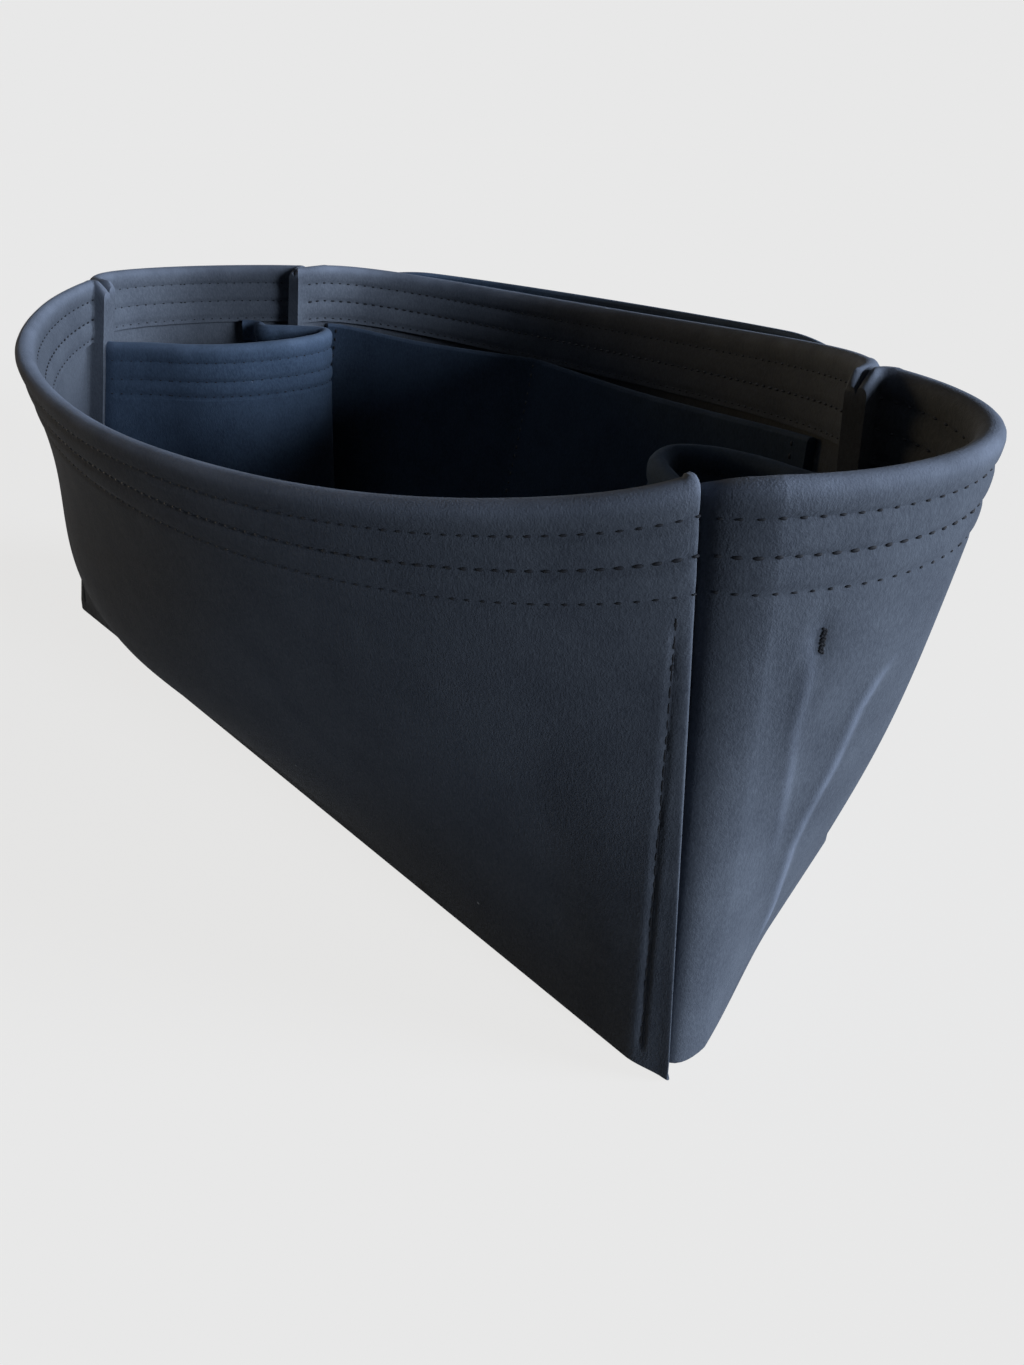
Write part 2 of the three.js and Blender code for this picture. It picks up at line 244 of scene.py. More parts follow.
# Each wall has its first corner, the handles of its rim's curve, the rim's dip, how full it is near its
# start and how its foot is bowed. For the folds at its two ends it has their width and crispness, how far
# their tops slope and over how many columns, and how deep they still reach the floor.
FRONT = {"corner": 0, "start": (64, 107), "end": (14.5, 24), "dip": 13, "barrel": (0.07, 0.09),
         "bow": FRONT_FOOT_BOW, "fold": (5.5, 2.4), "crisp": (3.0, 4.0), "slope": (3.5, 3.5),
         "sloped": (6, 6), "grounded": (1.6, 2.6)}
RIGHT = {"corner": 1, "start": (10, 21), "end": (7, 61), "dip": 1, "barrel": (0, 0),
         "bow": RIGHT_FOOT_BOW, "fold": (RIGHT_FOLD, 6.0), "crisp": (0.8, 1.0), "slope": (7, 3.5),
         "sloped": (15, 6), "grounded": (5.0, 1.6)}
BACK = {"corner": 2, "start": (52, 72), "end": (3, 70), "dip": 9, "barrel": (0, 0),
        "bow": STRAIGHT_FOOT, "fold": (6.0, 6.0), "crisp": (2.0, 1.0), "slope": (3.5, 2.0),
        "sloped": (6, 6), "grounded": (1.6, 1.6)}
LEFT = {"corner": 3, "start": (23, 46), "end": (12, 38), "dip": 1, "barrel": (0, 0),
        "bow": STRAIGHT_FOOT, "fold": (6.0, 6.0), "crisp": (1.5, 1.0), "slope": (2.0, 2.0),
        "sloped": (6, 6), "grounded": (1.6, 1.6)}
WALLS = (FRONT, RIGHT, BACK, LEFT)
FOLD_COLUMNS = 10
FLAP_COLUMNS = 5
FLAP_SLOPE_DEPTH = 30
FLAP_RISE = 1.2
FLAP_CLEAR = 0.15
FLAP_STEP = 0.3
LONGEST_FOLD = 0.8
INNER_ROUNDING = 1.4
END_GRADING = 0.6
BODY_LEVELS = 56
HEM_FIRST, HEM_STEP = 3.0, 0.65
HEM_EDGE = ((0.35, 0.98), (0.12, 0.8), (0.0, 0.0))
BELOW_HEM = 0.8
LOWEST_SHARE = 0.02
STITCH_DENT = 0.5
STITCH_DENT_WIDTH = 0.9
HEM_PUFF = 0.3
RIPPLE_FROM, RIPPLE_RUN, RIPPLE_RISE = 14, 18, 25
SLOW_RIPPLE, QUICK_RIPPLE = 0.45, 0.18
RIM_HIGHLIGHT = 0.55
RIM_HIGHLIGHT_DEPTH = 2.6
RIM_ROLL = (75, 58, 40, 20, 0)
FOOT_ROLL = (78, 54, 28, 0)
FOOT_ROUND = 0.9
SAMPLES = np.linspace(0, 1, 801)


def right_of(heading):
    return np.stack((heading[..., 1], -heading[..., 0]), axis=-1)


def unit(vector):
    return vector / np.linalg.norm(vector, axis=-1, keepdims=True)


def run_along(line):
    """How far along a line each of its points is."""
    return np.concatenate(([0], np.cumsum(np.linalg.norm(np.diff(line, axis=0), axis=1))))


def corner_at_foot(index):
    x, y = CORNER_SIDES[index % 4]
    return np.array((x * (BASE_LENGTH if y < 0 else BASE_BACK_LENGTH) / 2, y * BASE_WIDTH / 2))


def corner_at_rim(index):
    drawn_in = np.array(CORNER_SIDES[index % 4]) * np.array(CORNER_DRAWN_IN[index % 4])
    return corner_at_foot(index) - drawn_in


def wall_plan(wall, u, v):
    """Places on a wall's outer face, seen from above: u along the wall, v from its foot to its rim."""
    corner = wall["corner"]
    u = np.asarray(u, float)[..., None]
    v = np.asarray(v, float)[..., None]
    foot = corner_at_foot(corner) * (1 - u) + corner_at_foot(corner + 1) * u
    first, last = corner_at_rim(corner), corner_at_rim(corner + 1)
    heading = np.array(WALL_ALONG[corner], float)
    out = right_of(heading)
    leave = first + heading * wall["start"][0] + out * wall["start"][1]
    arrive = last - heading * wall["end"][0] + out * wall["end"][1]
    chord = first * (1 - u) + last * u
    rim = (first * (1 - u) ** 3 + leave * 3 * u * (1 - u) ** 2
           + arrive * 3 * u ** 2 * (1 - u) + last * u ** 3)
    fuller, rounder = wall["barrel"]
    near_start = 1 - eased((u - BARREL_FROM) / BARREL_RUN)
    lean = v + 4 * (BULGE + fuller * near_start) * v * (1 - v)
    lean = lean + rounder * near_start * np.sin(2 * math.pi * v)
    bow = out * foot_bow(wall["bow"], u) * (1 - v) ** 2
    return foot + bow + (chord - foot) * v + (rim - chord) * lean


def wall_heading(wall, u, v, step=0.001):
    u = np.asarray(u, float)
    ahead = wall_plan(wall, np.minimum(1, u + step), v)
    return unit(ahead - wall_plan(wall, np.maximum(0, u - step), v))


def rim_level(wall, u):
    start, end = CORNER_RISE[wall["corner"]], CORNER_RISE[(wall["corner"] + 1) % 4]
    u = np.asarray(u, float)
    return WALL_HEIGHT + start + (end - start) * u - wall["dip"] * (4 * u * (1 - u)) ** DIP_SHARPNESS


def wall_level(wall, u, v):
    """Heights of places on a wall."""
    return WALL_FOOT + (rim_level(wall, u) - WALL_FOOT) * v


def share_below_rim(wall, u, drop, share):
    """v at a share of the height up to a line that runs a drop below the rim."""
    return share * (1 - drop / (rim_level(wall, u) - WALL_FOOT))


def seam_at(corner, v):
    """A corner seam at one level: its place, and the way that its allowance points into the box."""
    following, previous = WALLS[corner % 4], WALLS[(corner + 3) % 4]
    turned = -wall_heading(previous, 1.0, v) - wall_heading(following, 0.0, v)
    inward = unit(right_of(turned))
    angle = math.radians(ALLOWANCE_BENT_ASIDE[corner % 4] * float(v))
    c, s = math.cos(angle), math.sin(angle)
    bent = np.array((c * inward[0] - s * inward[1], s * inward[0] + c * inward[1]))
    return wall_plan(following, 0.0, v), bent


def fold_in(wall, at_end, v, thickness, inset, flap_inset, edge, relief):
    """The columns of one end of a panel: its allowance from the tip, then its fold, up to the wall."""
    u = 1.0 if at_end else 0.0
    place, inward = seam_at(wall["corner"] + at_end, v)
    beside = right_of(inward) * (-1 if at_end else 1)
    out = right_of(wall_heading(wall, u, v))
    faces = []
    for offset, depth, goal, weight in (
        (SEWN_GAP / 2 + flap_inset, inset - relief[0], edge[0], wall["crisp"][at_end]),
        (SEWN_GAP / 2 + FELT - flap_inset, thickness - inset + relief[1], edge[1], INNER_ROUNDING),
    ):
        reach = (-depth - offset * (beside @ out)) / (inward @ out)
        corner = place + beside * offset + inward * reach
        tip = place + beside * offset + inward * SEAM_ALLOWANCE
        run = min(np.linalg.norm(goal - corner), LONGEST_FOLD * (SEAM_ALLOWANCE - reach))
        begin = corner + inward * run
        flap = [tip + (begin - tip) * k / FLAP_COLUMNS for k in range(FLAP_COLUMNS)]
        fold = []
        for k in range(FOLD_COLUMNS):
            t = k / FOLD_COLUMNS
            a, b, c = (1 - t) ** 2, 2 * weight * t * (1 - t), t ** 2
            fold.append((a * begin + b * corner + c * goal) / (a + b + c))
        faces.append(np.array(flap + fold))
    columns = np.stack(faces, axis=1)
    return columns[::-1] if at_end else columns


def hem_dents(drop, rows):
    """How far stitching draws a face in, and the felt between its rows puffs out, below a rim."""
    dents = sum(math.exp(-((drop - row) / STITCH_DENT_WIDTH) ** 2) for row in rows) * -STITCH_DENT
    edges = (0, *rows)
    puffs = 0
    for above, below in zip(edges, edges[1:]):
        if above < drop < below:
            puffs += math.sin(math.pi * (drop - above) / (below - above)) * HEM_PUFF
    return dents + puffs


def wall_hem(drop):
    return hem_dents(drop, HEM_ROWS) if drop < HEM_DEPTH else 0


def ripple(at, length, height, phase):
    """The slow unevenness of a felt wall that stands by itself, nothing at its ends and its foot."""
    from_end = np.minimum(at, length - at)
    calm = eased((from_end - RIPPLE_FROM) / RIPPLE_RUN) * np.clip(height / RIPPLE_RISE, 0, 1)
    slow = np.sin(at / 29 + height / 47 + phase) * np.sin(height / 33 + 1.3 * phase)
    quick = np.sin(at / 12.5 - height / 21 + 2.1 * phase) * np.sin(height / 17 + phase)
    return calm * (SLOW_RIPPLE * slow + QUICK_RIPPLE * quick)


def hem_levels(depth):
    """Levels of a hem: drop below the rim, how far its top is rolled, and how much of it is there."""
    half = (FELT + HEM_TURN) / 2
    rolls = [math.radians(angle) for angle in RIM_ROLL]
    levels = [(half * (1 - math.sin(roll)), 1 - math.cos(roll), 1.0) for roll in rolls]
    levels += [(drop, 0.0, 1.0) for drop in np.arange(HEM_FIRST, depth - 0.5, HEM_STEP)]
    return levels + [(depth - above, 0.0, left) for above, left in HEM_EDGE]


# Painted highlight along the rims, fading out a few millimetres below them.
def rim_highlight(drops):
    return RIM_HIGHLIGHT * np.exp(-(np.asarray(drops) / RIM_HIGHLIGHT_DEPTH) ** 2)


def panel_grid(wall, steps, relief, highlighting=None):
    """Rows of a wall panel from its foot to its rim, each row's drop below the rim, and its painted
    highlight.
    relief(at, length, height, drop) gives how far its outer and inner faces stand out of their place."""
    q = np.linspace(0, 1, steps + 1)
    shares = q - END_GRADING * np.sin(2 * math.pi * q) / (2 * math.pi)
    levels = [(drop, 1.0, pinch, hem) for drop, pinch, hem in hem_levels(HEM_DEPTH)]
    body = np.linspace(1, LOWEST_SHARE, BODY_LEVELS)
    levels += [(HEM_DEPTH + BELOW_HEM, share, 0.0, 0.0) for share in body]
    rows, marked = zip(*[panel_row(wall, *level, shares, relief, highlighting) for level in levels])
    feet = [foot_row(wall, math.radians(angle), shares) for angle in reversed(FOOT_ROLL)]
    drops = [drop + (1 - share) * WALL_HEIGHT for drop, share, _, _ in levels]
    drops += [2 * WALL_HEIGHT] * len(feet)
    highlight = np.array([*marked, *[0 * marked[0]] * len(feet)]) + rim_highlight(drops)[:, None]
    return np.array([*rows, *feet])[::-1], np.array(drops[::-1]), highlight[::-1]


def panel_row(wall, drop, share, pinch, hem, shares, relief, highlighting=None):
    thickness = FELT + HEM_TURN * hem
    inset = thickness / 2 * pinch
    run = run_along(wall_plan(wall, SAMPLES, share_below_rim(wall, SAMPLES, drop, share)))
    first, last = wall["fold"]
    at = first + (run[-1] - first - last) * shares
    u = np.interp(at, run, SAMPLES)
    v = share_below_rim(wall, u, drop, share)
    out = right_of(wall_heading(wall, u, v))
    height = wall_level(wall, u, v)
    proud, hollow = relief(at, run[-1], height, drop if share == 1 else WALL_HEIGHT)
    place = wall_plan(wall, u, v)
    outer = place + out * (proud - inset)[:, None]
    inner = place - out * (thickness - inset + hollow)[:, None]
    middle = np.stack((outer, inner), axis=1)
    ends = [float(share_below_rim(wall, end, drop, share)) for end in (0.0, 1.0)]
    rolled = FELT / 2 * pinch
    start_fold = fold_in(wall, 0, ends[0], thickness, inset, rolled, middle[0], (proud[0], hollow[0]))
    end_fold = fold_in(wall, 1, ends[1], thickness, inset, rolled, middle[-1], (proud[-1], hollow[-1]))
    folds = len(start_fold)
    levels = [np.full(folds, wall_level(wall, end, v_end)) for end, v_end in zip((0.0, 1.0), ends)]
    fade = max(0, 1 - drop / FLAP_SLOPE_DEPTH) * share
    low_tips = [fade * slope * np.clip(1 - np.arange(folds) / sloped, 0, 1) ** 1.5
                for slope, sloped in zip(wall["slope"], wall["sloped"])]
    tall = np.concatenate((levels[0] - low_tips[0], height, levels[1] - low_tips[1][::-1]))
    plan = np.concatenate((start_fold, middle, end_fold))
    marked = 0 * tall
    if highlighting:
        marked[folds:-folds] = highlighting(at, run[-1], height)
    return np.concatenate((plan, np.repeat(tall[:, None, None], 2, axis=1)), axis=2), marked


def foot_row(wall, angle, shares):
    """A row of the rounded edge at a wall's foot. The allowances stop above the base."""
    row, _ = panel_row(wall, 0.0, 0.0, 0.0, 0.0, shares, lambda at, *_: (0 * at, 0 * at))
    plan = row[:, 0, :2].copy()
    out = right_of(wall_heading(wall, 0.5, 0.0))
    depth = (corner_at_foot(wall["corner"]) - plan) @ out
    depth[FLAP_COLUMNS + FOLD_COLUMNS:-FLAP_COLUMNS - FOLD_COLUMNS] = 0
    first, last = wall["grounded"]
    limit = np.where(np.arange(len(depth)) < len(depth) / 2, first, last)
    low = 1 - eased((depth - limit) / FLAP_RISE)
    curl = FOOT_ROUND * (1 - math.cos(angle))
    level = FOOT_CLEAR + FOOT_ROUND * (1 - math.sin(angle))
    stop = WALL_FOOT + FLAP_CLEAR + FLAP_STEP * level
    for side, way in ((0, -1), (1, 1)):
        row[:, side, :2] += out * (way * curl * low)[:, None]
        row[:, side, 2] = stop + (level - stop) * low
    return row


def row_at(drops, drop):
    return int(np.abs(drops - drop).argmin())


def seam_to_seam(rows):
    """The columns of a panel's rows between the ridges of its two folds."""
    ridge = FLAP_COLUMNS + FOLD_COLUMNS // 2
    return slice(ridge, rows.shape[1] - ridge)


def on_face(rows, share, height, side=0):
    """A place on a panel's face: a share of its length between the ridges, and a height."""
    face = rows[:, seam_to_seam(rows), side]
    run = run_along(face[len(face) // 2])
    column = np.interp(share * run[-1], run, np.arange(len(run)))
    left = min(int(column), len(run) - 2)
    line = face[:, left] + (face[:, left + 1] - face[:, left]) * (column - left)
    return np.array([np.interp(height, line[:, 2], line[:, k]) for k in (0, 1)] + [height])


# The third colour is that of the painted highlight on rims and creases; the fourth is lint.
wall_felt = pressed_felt("charcoal_wall_felt", "#41464f", "#595f68", "#939db0", "#a3aab6")
EDGE_STITCH_TOP, EDGE_STITCH_FOOT = 104, 8
EDGE_STITCH_FROM_SEAM = 2.8
EDGE_STITCH_SPREAD = 0.044
EDGE_GROOVE, EDGE_GROOVE_WIDTH = 0.5, 0.7
EDGE_STITCH_LENGTH, EDGE_THREAD = 2.6, 0.34
EDGE_POINTS = 60
EDGE_TACK = 6


def edge_stitch(height):
    """How far a line of edge stitching is from its seam: it draws away from the seam towards the foot."""
    return EDGE_STITCH_FROM_SEAM + EDGE_STITCH_SPREAD * (EDGE_STITCH_TOP - height)


def edge_grooves(at, length, height):
    line = edge_stitch(height)
    grooves = sum(np.exp(-((off - line) / EDGE_GROOVE_WIDTH) ** 2) for off in (at, length - at))
    return EDGE_GROOVE * grooves * (height < EDGE_STITCH_TOP) * (height > EDGE_STITCH_FOOT - 2)


def front_relief(at, length, height, drop):
    hem = wall_hem(drop)
    wavy = ripple(at, length, height, 0.4)
    return wavy + hem - edge_grooves(at, length, height), hem - wavy


front_rows, front_drops, front_highlight = panel_grid(FRONT, 170, front_relief)
front_mesh, _ = sheet_mesh("front_felt", front_rows, front_highlight)
front_piece = shown("front_felt", front_mesh, wall_felt)
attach(front_piece, "front_wall")
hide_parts("front_panel")

# The stitching is black polyester thread, sunk into the felt. Each stitch is a short dash between two
# needle holes, and some rows are sewn tighter and show bolder than others.
STITCH_PITCH = 3.2
STITCH_LENGTH = 1.7
THREAD = 0.8
THREAD_PROUD = 0.05
THREAD_TWIST = 0.5
BOLD_ROWS = (0.75, 1.0, 0.7)


def thread_stitches():
    """Geometry Nodes that set stitches along the edges of a mesh."""
    tree = bpy.data.node_groups.new("thread_stitches", "GeometryNodeTree")
    inputs = {"Paths": "Geometry", "Pitch": "Float", "Length": "Float", "Thread": "Float",
              "Seed": "Int", "Material": "Material"}
    for name, kind in inputs.items():
        tree.interface.new_socket(name=name, in_out="INPUT", socket_type=f"NodeSocket{kind}")
    tree.interface.new_socket(name="Stitches", in_out="OUTPUT", socket_type="NodeSocketGeometry")
    given = add_node(tree, "NodeGroupInput").outputs
    curve = add_node(tree, "GeometryNodeMeshToCurve", {"Mesh": given["Paths"]})
    points = add_node(tree, "GeometryNodeCurveToPoints", {
        "Curve": curve.outputs["Curve"], "Length": given["Pitch"]}, mode="LENGTH")
    turned = add_node(tree, "FunctionNodeAlignRotationToVector", {
        "Vector": points.outputs["Tangent"]}, axis="X")
    size = add_node(tree, "ShaderNodeCombineXYZ", {
        "X": given["Length"], "Y": given["Thread"], "Z": given["Thread"]})
    ball = add_node(tree, "GeometryNodeMeshUVSphere", {"Segments": 8, "Rings": 5, "Radius": 0.5})
    dash = add_node(tree, "GeometryNodeTransform", {
        "Geometry": ball.outputs["Mesh"], "Scale": size.outputs[0]})
    uneven = add_node(tree, "FunctionNodeRandomValue", {
        0: (0.75, 0.8, 0.8), 1: (1.12, 1.12, 1.12), "Seed": given["Seed"]}, data_type="FLOAT_VECTOR")
    bold = add_node(tree, "GeometryNodeInputNamedAttribute", {"Name": "bold"}, data_type="FLOAT")
    grown = add_node(tree, "ShaderNodeVectorMath", {
        0: uneven.outputs[0], "Scale": bold.outputs[0]}, operation="SCALE")
    placed = add_node(tree, "GeometryNodeInstanceOnPoints", {
        "Points": points.outputs["Points"], "Instance": dash.outputs["Geometry"],
        "Rotation": turned.outputs["Rotation"], "Scale": grown.outputs[0]})
    real = add_node(tree, "GeometryNodeRealizeInstances", {"Geometry": placed.outputs["Instances"]})
    smooth = add_node(tree, "GeometryNodeSetShadeSmooth", {"Geometry": real.outputs["Geometry"]})
    dressed = add_node(tree, "GeometryNodeSetMaterial", {
        "Geometry": smooth.outputs["Geometry"], "Material": given["Material"]})
    add_node(tree, "NodeGroupOutput", {"Stitches": dressed.outputs["Geometry"]})
    return tree


def polyester_thread():
    """Black thread: a faint gloss, and a twist too fine to see but for a slight unevenness."""
    material = bpy.data.materials.new("black_polyester_thread")
    material.use_nodes = True
    tree = material.node_tree
    surface = tree.nodes["Principled BSDF"]
    place = add_node(tree, "ShaderNodeTexCoord").outputs["Object"]
    twist = add_node(tree, "ShaderNodeTexNoise", {
        "Vector": place, "Scale": 1 / (THREAD_TWIST * MM), "Detail": 2.0})
    colour = add_node(tree, "ShaderNodeMix", {
        "Factor": twist.outputs["Fac"], 6: linear("#0d0f13"), 7: linear("#1d2129")}, data_type="RGBA")
    tree.links.new(colour.outputs[2], surface.inputs["Base Color"])
    surface.inputs["Roughness"].default_value = 0.7
    surface.inputs["Specular IOR Level"].default_value = 0.2
    return material


stitch_nodes = thread_stitches()
thread = polyester_thread()


def sew(name, paths, seed, bold=(1.0,), pitch=STITCH_PITCH, length=STITCH_LENGTH, width=THREAD):
    """Stitches along paths, which are given in millimetres, as one plain mesh.
    bold gives how heavy the stitches of each path are, over and over."""
    edges = []
    weights = []
    first = 0
    for k, path in enumerate(paths):
        edges += [(at, at + 1) for at in range(first, first + len(path) - 1)]
        first += len(path)
        weights += list(np.broadcast_to(bold[k % len(bold)], len(path)))
    guide = bpy.data.meshes.new(f"{name}_guide")
    guide.from_pydata((np.concatenate(paths) * MM).tolist(), edges, [])
    guide.attributes.new("bold", "FLOAT", "POINT").data.foreach_set("value", weights)
    piece = bpy.data.objects.new(name, guide)
    bpy.context.scene.collection.objects.link(piece)
    modifier = piece.modifiers.new("stitches", "NODES")
    modifier.node_group = stitch_nodes
    values = {"Pitch": pitch * MM, "Length": length * MM, "Thread": width * MM,
              "Seed": seed, "Material": thread}
    for item in stitch_nodes.interface.items_tree:
        if item.in_out == "INPUT" and item.name in values:
            modifier[item.identifier] = values[item.name]
    ready = piece.evaluated_get(bpy.context.evaluated_depsgraph_get())
    made = bpy.data.meshes.new_from_object(ready)
    piece.modifiers.clear()
    piece.data = made
    bpy.data.meshes.remove(guide)
    return piece


def hem_paths(rows, drops, hem_rows, columns):
    """The lines of a hem's stitch rows on both faces, just above the dented felt."""
    paths = []
    for side in (0, 1):
        for drop in hem_rows:
            level = row_at(drops, drop)
            line = rows[level, columns, side]
            paths.append(line + unit(line - rows[level, columns, 1 - side]) * THREAD_PROUD)
    return paths


def edge_paths(rows):
    """The lines of stitching beside a panel's two folds."""
    heights = np.linspace(EDGE_STITCH_TOP, EDGE_STITCH_FOOT, EDGE_POINTS)
    face = rows[:, seam_to_seam(rows), 0]
    length = run_along(face[len(face) // 2])[-1]
    shares = edge_stitch(heights) / length
    return [np.array([on_face(rows, share, height) for share, height in zip(side, heights)])
            for side in (shares, 1 - shares)]


front_hem = hem_paths(front_rows, front_drops, HEM_ROWS, seam_to_seam(front_rows))
front_stitches = sew("front_hem_stitches", front_hem, 3, BOLD_ROWS)
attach(front_stitches, "front_wall")
front_edges = edge_paths(front_rows)
front_edge_stitches = sew(
    "front_edge_stitches", front_edges, 4, length=EDGE_STITCH_LENGTH, width=EDGE_THREAD)
front_edge_tacks = sew("front_edge_tacks", [line[:EDGE_TACK] for line in front_edges], 14, (0.85,))
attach(front_edge_tacks, "front_wall")
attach(front_edge_stitches, "front_wall")

# Right end panel: the short wall at the right, which bulges out between its corner seams. Its felt is
# creased from being folded flat, and the tail of the pocket behind it is sewn through it with a bar tack.
# It is made in two halves, cut at its middle.
TACK_SHARE = 0.21
TACK_TOP, TACK_FOOT = 102, 97.3
TACK_WIDTH = 0.6
TACK_ON_FACE = 0.198
TACK_STITCHES = 14
CREASE_HIGHLIGHT_WIDTH = 1.3
CREASE_FADE = (14, 8)
SLUMP_OFF, SLUMP_WIDTH = 3.6, 3
TAIL_RIDGE, TAIL_HIGHLIGHT = (0.42, 1.7, 0.5), 0.3
FOLD_RIDGE, FOLD_HIGHLIGHT = (0.55, 1.9, 0.7), 0.6
TACK_DENT, TACK_DENT_SIZE = 1.1, (2.2, 4.5)
TAIL_CREASE = ((106, 0.219), (102, 0.21), (94.6, 0.209), (81.7, 0.205), (69.8, 0.222), (59.6, 0.238),
               (45, 0.26))
FOLD_CREASE = ((93, 0.43), (87.9, 0.383), (81.3, 0.357), (67.3, 0.345), (55.2, 0.314), (47.7, 0.306),
               (38, 0.319), (24.2, 0.35), (12, 0.36))


def halved(name, rows, marked, split, material):
    """Two pieces of one sheet, cut at a column, with the shading of the whole one along the cut."""
    whole, whole_keys = sheet_mesh(name, rows, marked)
    normals = {}
    for key, face in zip(whole_keys, whole.polygons):
        normals[key] = [tuple(whole.corner_normals[k].vector) for k in face.loop_indices]
    pieces = []
    for part, first, last in (("a", 0, split), ("b", split, rows.shape[1] - 1)):
        mesh, keys = sheet_mesh(f"{name}_{part}", rows[:, first:last + 1], marked[:, first:last + 1], first)
        shading = []
        for key, face in zip(keys, mesh.polygons):
            shading += normals.get(key) or [tuple(face.normal)] * face.loop_total
        mesh.normals_split_custom_set(shading)
        pieces.append(shown(f"{name}_{part}", mesh, material))
    bpy.data.meshes.remove(whole)
    return pieces


def follow_wall(piece, wall_body, still, moving, slope):
    """Bakes the piece's place into its mesh."""
    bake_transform(piece)


def end_bends(rows, first_wall, last_wall):
    """The lines where the halves of an end panel would stay still and would move, at the cut between them
    and at the walls that they are sewn to."""
    cut = rows[:, rows.shape[1] // 2]
    slope = float(np.polyfit(cut[..., 2].ravel(), cut[..., 1].ravel(), 1)[0])
    sewn = FLAP_COLUMNS + FOLD_COLUMNS // 2
    bends = []
    for wall_body, seam in ((first_wall, rows[:, :sewn]), (last_wall, rows[:, -sewn:])):
        side = float(np.sign(seam[..., 1].mean() - cut[..., 1].mean()))
        still = float(((cut[..., 1] - slope * cut[..., 2]) * side).max())
        moving = float(((seam[..., 1] - slope * seam[..., 2]) * side).min())
        bends.append((wall_body, side * still, side * moving, slope))
    return bends


def off_crease(at, length, height, line):
    """How far places are from a crease, a line of heights and shares, and how much of it is there."""
    heights, shares = np.array(line[::-1]).T
    off = at - np.interp(height, heights, shares) * length
    low, high = CREASE_FADE
    return off, eased((height - heights[0]) / low) * eased((heights[-1] - height) / high)


def crease(at, length, height, line, rise, width, slump):
    """A crease is a narrow ridge, with the felt slumped on its near side."""
    off, present = off_crease(at, length, height, line)
    ridge = rise * np.exp(-(off / width) ** 2)
    hollow = slump * np.exp(-((off + SLUMP_OFF * width) / (SLUMP_WIDTH * width)) ** 2)
    return present * (ridge - hollow)


# Painted highlight along the creases of the right end panel, palest on their ridges.
def right_crease_highlight(at, length, height):
    marked = 0 * at
    for line, most in ((TAIL_CREASE, TAIL_HIGHLIGHT), (FOLD_CREASE, FOLD_HIGHLIGHT)):
        off, present = off_crease(at, length, height, line)
        marked = marked + most * present * np.exp(-(off / CREASE_HIGHLIGHT_WIDTH) ** 2)
    return marked


def right_relief(at, length, height, drop):
    hem = wall_hem(drop)
    wavy = ripple(at, length, height, 1.7)
    marked = crease(at, length, height, TAIL_CREASE, *TAIL_RIDGE)
    marked += crease(at, length, height, FOLD_CREASE, *FOLD_RIDGE)
    aside, above = at - TACK_SHARE * length, height - (TACK_TOP + TACK_FOOT) / 2
    wide, tall = TACK_DENT_SIZE
    drawn_in = TACK_DENT * np.exp(-(aside / wide) ** 2 - (above / tall) ** 2)
    shape = wavy + marked - drawn_in
    return shape + hem, hem - shape


def end_panel(name, rows, drops, marked, bends, seed, bold=BOLD_ROWS):
    """An end panel's two halves, with the stitches of their hems."""
    cut = rows.shape[1] // 2
    for piece, bend in zip(halved(f"{name}_end_felt", rows, marked, cut, wall_felt), bends):
        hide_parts(f"{name}_end_panel")
        follow_wall(piece, *bend)
    between = seam_to_seam(rows)
    for part, columns, bend in zip("ab", (slice(between.start, cut), slice(cut, between.stop)), bends):
        hem = hem_paths(rows, drops, HEM_ROWS, columns)
        follow_wall(sew(f"{name}_hem_stitches_{part}", hem, seed, bold), *bend)


right_rows, right_drops, right_highlight = panel_grid(RIGHT, 200, right_relief, right_crease_highlight)
right_bends = end_bends(right_rows, "front_wall", "back_wall")
end_panel("right", right_rows, right_drops, right_highlight, right_bends, 7)
face_length = run_along(right_rows[len(right_rows) // 2, seam_to_seam(right_rows), 0])[-1]
tack_heights = np.linspace(TACK_TOP, TACK_FOOT, TACK_STITCHES)
tack_shares = TACK_ON_FACE + np.where(np.arange(TACK_STITCHES) % 2, 0.5, -0.5) * TACK_WIDTH / face_length
tack_path = np.array([on_face(right_rows, s, h) for s, h in zip(tack_shares, tack_heights)])
tack = sew("right_bar_tack", [tack_path], 9, pitch=0.4, length=0.8, width=0.7)
follow_wall(tack, *right_bends[0])

# Back panel: the long wall at the back, hemmed, folded and stitched as the front one is.
# It carries a pocket on each side, and they lean with it.


def back_relief(at, length, height, drop):
    hem = wall_hem(drop)
    return hem - edge_grooves(at, length, height), hem + 0 * at


back_rows, back_drops, back_highlight = panel_grid(BACK, 140, back_relief)
back_mesh, _ = sheet_mesh("back_felt", back_rows, back_highlight)
back_piece = shown("back_felt", back_mesh, wall_felt)
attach(back_piece, "back_wall")
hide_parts("back_panel")
back_hem = hem_paths(back_rows, back_drops, HEM_ROWS, seam_to_seam(back_rows))
back_stitches = sew("back_hem_stitches", back_hem, 5, BOLD_ROWS)
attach(back_stitches, "back_wall")
back_edge_stitches = sew(
    "back_edge_stitches", edge_paths(back_rows), 6, length=EDGE_STITCH_LENGTH, width=EDGE_THREAD)
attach(back_edge_stitches, "back_wall")

# Left end panel: the short wall at the left, cut and hemmed as the right one is.
# It is not creased, and its rows of stitching show less.
LEFT_BOLD = (0.55, 0.6, 0.55)


def left_relief(at, length, height, drop):
    hem = wall_hem(drop)
    wavy = ripple(at, length, height, 2.9)
    return wavy + hem, hem - wavy


left_rows, left_drops, left_highlight = panel_grid(LEFT, 100, left_relief)
left_bends = end_bends(left_rows, "back_wall", "front_wall")
end_panel("left", left_rows, left_drops, left_highlight, left_bends, 8, LEFT_BOLD)

